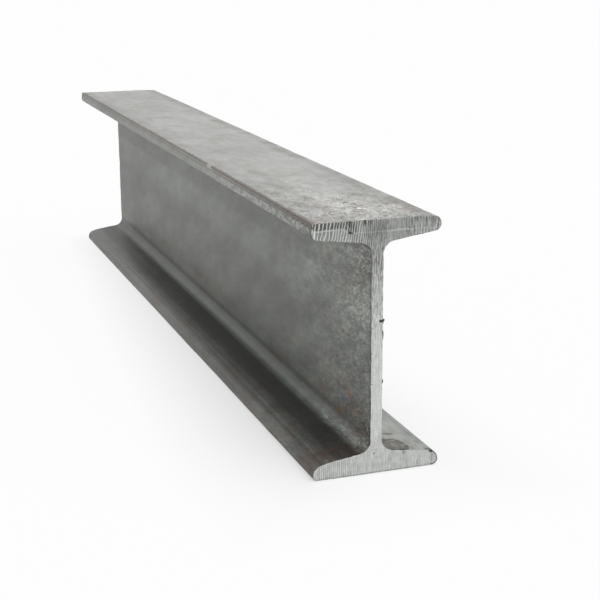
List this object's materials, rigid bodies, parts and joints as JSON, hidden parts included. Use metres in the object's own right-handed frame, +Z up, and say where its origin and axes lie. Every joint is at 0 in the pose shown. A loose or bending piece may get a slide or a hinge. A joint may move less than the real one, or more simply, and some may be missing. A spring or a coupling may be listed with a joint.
{
  "type": "steel i-beam",
  "caption": "Short length of hot-rolled steel I-beam with tapered flanges and a thin web, sawn square at both ends.",
  "frame": {"origin": "centre of the bottom flange's underside, halfway along the beam", "axes": "+Z up across the beam's 80 mm depth, +Y along the beam's length, +X across the flanges"},
  "size_m": [0.042, 0.36, 0.08],
  "materials": {
    "rolled_steel": "grey hot-rolled mill scale with brown rust bloom, bright saw-cut ends"
  },
  "bodies": {
    "root": {"i_beam": "rolled_steel"}
  },
  "joints": []
}
